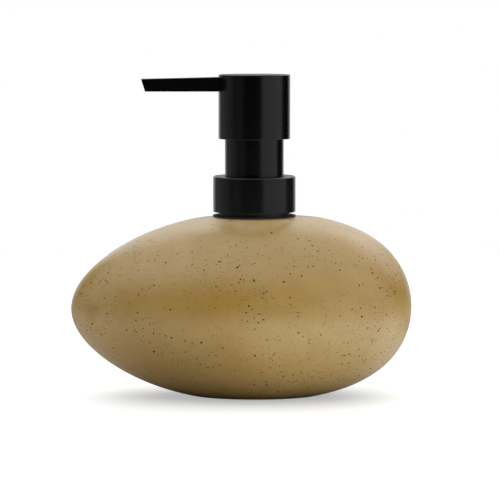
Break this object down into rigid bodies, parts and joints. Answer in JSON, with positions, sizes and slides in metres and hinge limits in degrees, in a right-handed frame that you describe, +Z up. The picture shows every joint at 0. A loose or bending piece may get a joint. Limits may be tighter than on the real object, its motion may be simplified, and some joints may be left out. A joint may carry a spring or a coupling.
{
  "type": "soap pump dispenser",
  "caption": "Egg-shaped stoneware bottle lying on its long side, with a black screw-on lotion pump, straight bar spout and press-down head.",
  "frame": {"origin": "on the resting plane, where the pump's axis meets it", "axes": "+Z up along the pump's axis; the spout and the narrow end of the egg point to -X; +Y to the back"},
  "size_m": [0.141, 0.0786, 0.1332],
  "materials": {
    "stoneware": "satin ochre glaze with dark iron speckle",
    "black_coated_metal": "satin black powder coat",
    "black_plastic": "matte moulded",
    "natural_plastic": "natural translucent polypropylene",
    "piston_plastic": "soft natural polyethylene",
    "silicone": "matte",
    "spring_steel": "drawn wire, bright"
  },
  "bodies": {
    "bottle": {"ceramic_bottle": "stoneware", "neck_insert": "black_plastic", "insert_seal": "silicone"},
    "pump_barrel": {"pump_housing": "natural_plastic", "neck_gasket": "silicone", "guide_bush": "natural_plastic", "tower_sleeve": "black_coated_metal", "ball_cage": "natural_plastic", "dip_tube": "natural_plastic", "return_spring": "spring_steel"},
    "collar": {"collar_shell": "black_coated_metal", "screw_cap": "black_plastic"},
    "plunger": {"upper_stem": "natural_plastic", "lower_stem": "natural_plastic"},
    "piston": {"piston": "piston_plastic"},
    "inlet_ball": {"inlet_ball": "spring_steel"},
    "head": {"head_shell": "black_coated_metal", "head_core": "black_plastic", "spout": "black_coated_metal", "spout_liner": "natural_plastic"}
  },
  "joints": [
    {"name": "pump_lift", "type": "slide", "parent": "bottle", "child": "pump_barrel", "axis": [0, 0, 1], "range_m": [0, 0.0064]},
    {"name": "collar_unscrew", "type": "hinge", "parent": "pump_barrel", "child": "collar", "pos_m": [0, 0, 0.084], "axis": [0, 0, 1], "range_deg": [0, 540]},
    {"name": "head_press", "type": "slide", "parent": "pump_barrel", "child": "plunger", "axis": [0, 0, -1], "range_m": [0, 0.014], "stiffness_N_per_m": 800, "springref_m": -0.008, "deforming": ["return_spring"]},
    {"name": "head_swivel", "type": "hinge", "parent": "plunger", "child": "head", "pos_m": [0, 0, 0.112], "axis": [0, 0, 1], "continuous": true},
    {"name": "piston_travel", "type": "slide", "parent": "pump_barrel", "child": "piston", "axis": [0, 0, -1], "range_m": [0, 0.0128]},
    {"name": "ball_lift", "type": "slide", "parent": "pump_barrel", "child": "inlet_ball", "axis": [0, 0, 1], "range_m": [0, 0.0018]}
  ],
  "couplings": [
    {"joint": "pump_lift", "follows": "collar_unscrew", "m_per_rad": 0.00067322},
    {"joint": "piston_travel", "follows": "head_press", "ratio": 0.914}
  ]
}
